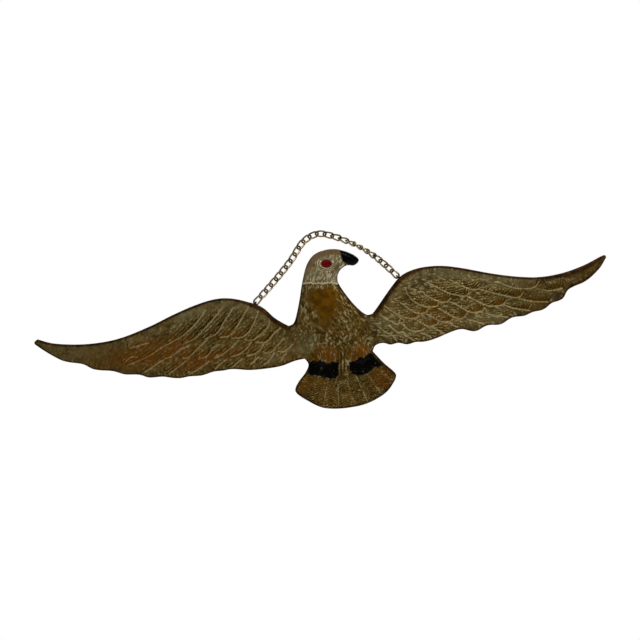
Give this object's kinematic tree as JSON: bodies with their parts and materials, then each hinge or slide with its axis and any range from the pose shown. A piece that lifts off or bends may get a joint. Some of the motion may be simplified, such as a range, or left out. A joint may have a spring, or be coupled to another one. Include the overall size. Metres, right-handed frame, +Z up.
{
  "type": "eagle wall plaque",
  "caption": "Flat-backed cast brass relief of a flying eagle with painted head, beak and leg bands, hung on a wall hook by a curb chain.",
  "frame": {"origin": "the point under the chain's middle link where the chain bears on a wall hook", "axes": "+X along the wings to the viewer's right, +Y into the wall, +Z up"},
  "size_m": [0.612, 0.0148, 0.1906],
  "materials": {
    "cast_brass": "cast brass with a dark olive-brown patina, and worn white, red and black paint on the head, eye, beak and legs",
    "chain_brass": "pale brass wire, lightly dulled"
  },
  "bodies": {
    "root": {"eagle": "cast_brass", "chain_link_01": "chain_brass", "chain_link_02": "chain_brass", "chain_link_03": "chain_brass", "chain_link_04": "chain_brass", "chain_link_05": "chain_brass", "chain_link_06": "chain_brass", "chain_link_07": "chain_brass", "chain_link_08": "chain_brass", "chain_link_09": "chain_brass", "chain_link_10": "chain_brass", "chain_link_11": "chain_brass", "chain_link_12": "chain_brass", "chain_link_13": "chain_brass", "chain_link_14": "chain_brass", "chain_link_15": "chain_brass", "chain_link_16": "chain_brass", "chain_link_17": "chain_brass", "chain_link_18": "chain_brass", "chain_link_19": "chain_brass", "chain_link_20": "chain_brass", "chain_link_21": "chain_brass", "chain_link_22": "chain_brass", "chain_link_23": "chain_brass", "chain_link_24": "chain_brass"}
  },
  "joints": []
}
